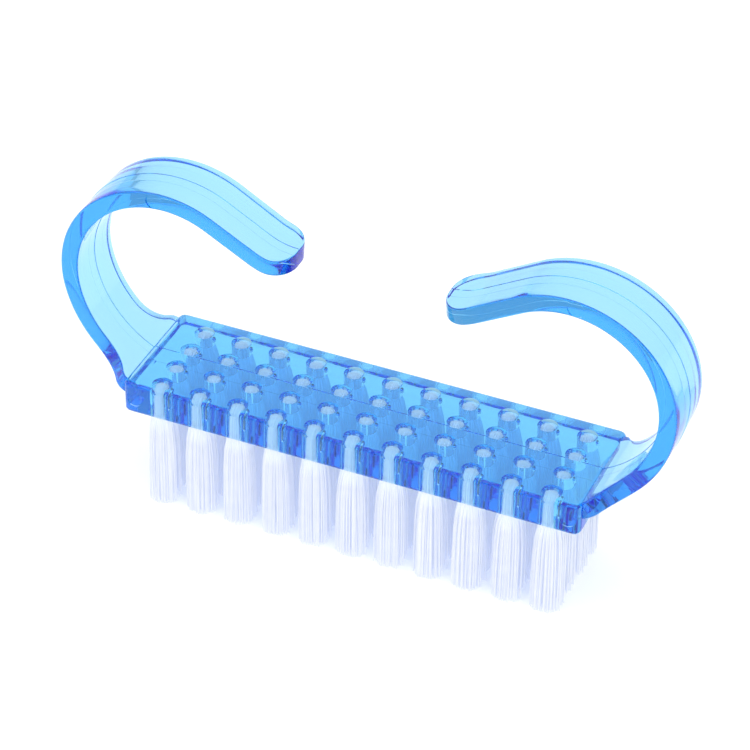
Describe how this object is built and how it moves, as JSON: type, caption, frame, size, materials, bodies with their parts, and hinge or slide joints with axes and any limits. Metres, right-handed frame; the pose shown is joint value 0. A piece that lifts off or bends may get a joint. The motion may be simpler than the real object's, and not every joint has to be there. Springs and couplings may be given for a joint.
{
  "type": "nail brush",
  "caption": "Hand-held nail scrubbing brush: a clear blue plastic block with a curled finger grip at each end and rows of short white nylon tufts underneath.",
  "frame": {"origin": "on the plane of the bristle tips, under the middle of the tuft grid and of the whole brush", "axes": "+Z from the bristle tips towards the grips, +X along the block towards one grip, +Y across the block"},
  "size_m": [0.0652, 0.0134, 0.036],
  "materials": {
    "clear_blue_plastic": "clear tinted injection moulding, polished mould",
    "white_nylon": "crimp-free nylon filament, cut ends",
    "anchor_wire": "flat galvanised wire, cut"
  },
  "bodies": {
    "root": {"handle_moulding": "clear_blue_plastic", "tuft_anchors": "anchor_wire", "tuft_row1_column01": "white_nylon", "tuft_row1_column02": "white_nylon", "tuft_row1_column03": "white_nylon", "tuft_row1_column04": "white_nylon", "tuft_row1_column05": "white_nylon", "tuft_row1_column06": "white_nylon", "tuft_row1_column07": "white_nylon", "tuft_row1_column08": "white_nylon", "tuft_row1_column09": "white_nylon", "tuft_row1_column10": "white_nylon", "tuft_row1_column11": "white_nylon", "tuft_row2_column01": "white_nylon", "tuft_row2_column02": "white_nylon", "tuft_row2_column03": "white_nylon", "tuft_row2_column04": "white_nylon", "tuft_row2_column05": "white_nylon", "tuft_row2_column06": "white_nylon", "tuft_row2_column07": "white_nylon", "tuft_row2_column08": "white_nylon", "tuft_row2_column09": "white_nylon", "tuft_row2_column10": "white_nylon", "tuft_row2_column11": "white_nylon", "tuft_row3_column01": "white_nylon", "tuft_row3_column02": "white_nylon", "tuft_row3_column03": "white_nylon", "tuft_row3_column04": "white_nylon", "tuft_row3_column05": "white_nylon", "tuft_row3_column06": "white_nylon", "tuft_row3_column07": "white_nylon", "tuft_row3_column08": "white_nylon", "tuft_row3_column09": "white_nylon", "tuft_row3_column10": "white_nylon", "tuft_row3_column11": "white_nylon", "tuft_row4_column01": "white_nylon", "tuft_row4_column02": "white_nylon", "tuft_row4_column03": "white_nylon", "tuft_row4_column04": "white_nylon", "tuft_row4_column05": "white_nylon", "tuft_row4_column06": "white_nylon", "tuft_row4_column07": "white_nylon", "tuft_row4_column08": "white_nylon", "tuft_row4_column09": "white_nylon", "tuft_row4_column10": "white_nylon", "tuft_row4_column11": "white_nylon"}
  },
  "joints": []
}
